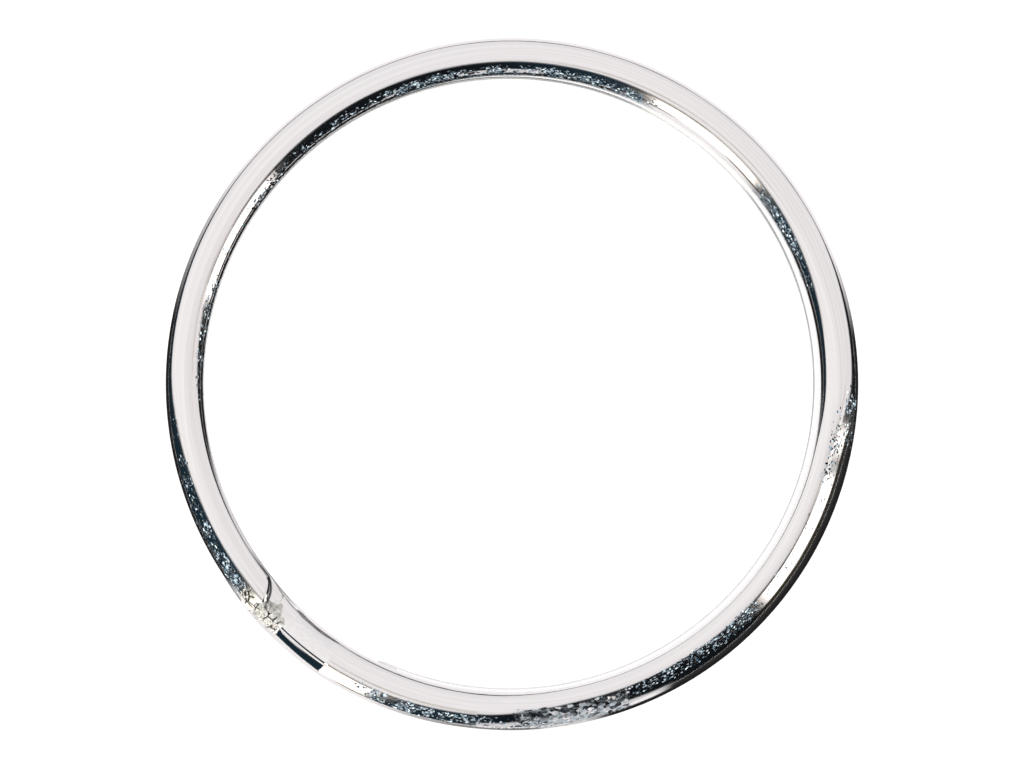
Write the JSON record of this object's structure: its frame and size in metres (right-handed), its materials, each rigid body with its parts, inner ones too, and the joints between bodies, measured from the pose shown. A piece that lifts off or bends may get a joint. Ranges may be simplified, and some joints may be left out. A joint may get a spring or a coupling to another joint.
{
  "type": "split key ring",
  "caption": "Round split ring of crowned spring wire in two flat turns, whose free ends pry open so that a key threads on.",
  "frame": {"origin": "centre of the ring, on the seam between its two turns", "axes": "+Z along the ring's axis, out of the face with the upper turn's free end; +X to the right and +Y up as that face is seen with its free end at the lower left"},
  "size_m": [0.035, 0.035, 0.0024],
  "materials": {
    "nickel_plated_wire": "bright nickel plate over drawn spring steel, with faint drawing lines round the wire"
  },
  "bodies": {
    "ring": {"upper_turn": "nickel_plated_wire", "crossover_shoulder": "nickel_plated_wire", "crossover_ramp": "nickel_plated_wire", "crossover_foot": "nickel_plated_wire", "lower_turn": "nickel_plated_wire"},
    "upper_leaf_1": {"upper_leaf_1": "nickel_plated_wire"},
    "upper_leaf_2": {"upper_leaf_2": "nickel_plated_wire"},
    "upper_leaf_3": {"upper_leaf_3": "nickel_plated_wire"},
    "upper_leaf_4": {"upper_leaf_4": "nickel_plated_wire"},
    "upper_tip": {"upper_tip": "nickel_plated_wire"},
    "lower_leaf_1": {"lower_leaf_1": "nickel_plated_wire"},
    "lower_leaf_2": {"lower_leaf_2": "nickel_plated_wire"},
    "lower_leaf_3": {"lower_leaf_3": "nickel_plated_wire"},
    "lower_leaf_4": {"lower_leaf_4": "nickel_plated_wire"},
    "lower_tip": {"lower_tip": "nickel_plated_wire"}
  },
  "joints": [
    {"name": "upper_end_opens", "type": "hinge", "parent": "ring", "child": "upper_leaf_1", "pos_m": [-0.00344, 0.01619, 0.0012], "axis": [-0.2079, 0.9781, 0], "range_deg": [0, 2.6], "stiffness_Nm_per_rad": 2.3},
    {"name": "upper_bend_2", "type": "hinge", "parent": "upper_leaf_1", "child": "upper_leaf_2", "pos_m": [-0.00973, 0.01339, 0.0012], "axis": [-0.5878, 0.809, 0], "range_deg": [0, 2.6], "stiffness_Nm_per_rad": 2.3},
    {"name": "upper_bend_3", "type": "hinge", "parent": "upper_leaf_2", "child": "upper_leaf_3", "pos_m": [-0.01433, 0.00827, 0.0012], "axis": [-0.866, 0.5, 0], "range_deg": [0, 2.6], "stiffness_Nm_per_rad": 2.3},
    {"name": "upper_bend_4", "type": "hinge", "parent": "upper_leaf_3", "child": "upper_leaf_4", "pos_m": [-0.01646, 0.00173, 0.0012], "axis": [-0.9945, 0.1045, 0], "range_deg": [0, 2.6], "stiffness_Nm_per_rad": 2.3},
    {"name": "upper_bend_5", "type": "hinge", "parent": "upper_leaf_4", "child": "upper_tip", "pos_m": [-0.01574, -0.00511, 0.0012], "axis": [-0.9511, -0.309, 0], "range_deg": [0, 2.6], "stiffness_Nm_per_rad": 2.3},
    {"name": "lower_end_opens", "type": "hinge", "parent": "ring", "child": "lower_leaf_1", "pos_m": [0.01618, 0.0006, -0.0012], "axis": [0.9994, 0.0349, 0], "range_deg": [0, 2.6], "stiffness_Nm_per_rad": 2.3},
    {"name": "lower_bend_2", "type": "hinge", "parent": "lower_leaf_1", "child": "lower_leaf_2", "pos_m": [0.015, -0.0061, -0.0012], "axis": [0.9272, -0.3746, 0], "range_deg": [0, 2.6], "stiffness_Nm_per_rad": 2.3},
    {"name": "lower_bend_3", "type": "hinge", "parent": "lower_leaf_2", "child": "lower_leaf_3", "pos_m": [0.01119, -0.01174, -0.0012], "axis": [0.6947, -0.7193, 0], "range_deg": [0, 2.6], "stiffness_Nm_per_rad": 2.3},
    {"name": "lower_bend_4", "type": "hinge", "parent": "lower_leaf_3", "child": "lower_leaf_4", "pos_m": [0.00542, -0.01535, -0.0012], "axis": [0.342, -0.9397, 0], "range_deg": [0, 2.6], "stiffness_Nm_per_rad": 2.3},
    {"name": "lower_bend_5", "type": "hinge", "parent": "lower_leaf_4", "child": "lower_tip", "pos_m": [-0.00132, -0.0163, -0.0012], "axis": [-0.0698, -0.9976, 0], "range_deg": [0, 2.6], "stiffness_Nm_per_rad": 2.3}
  ]
}
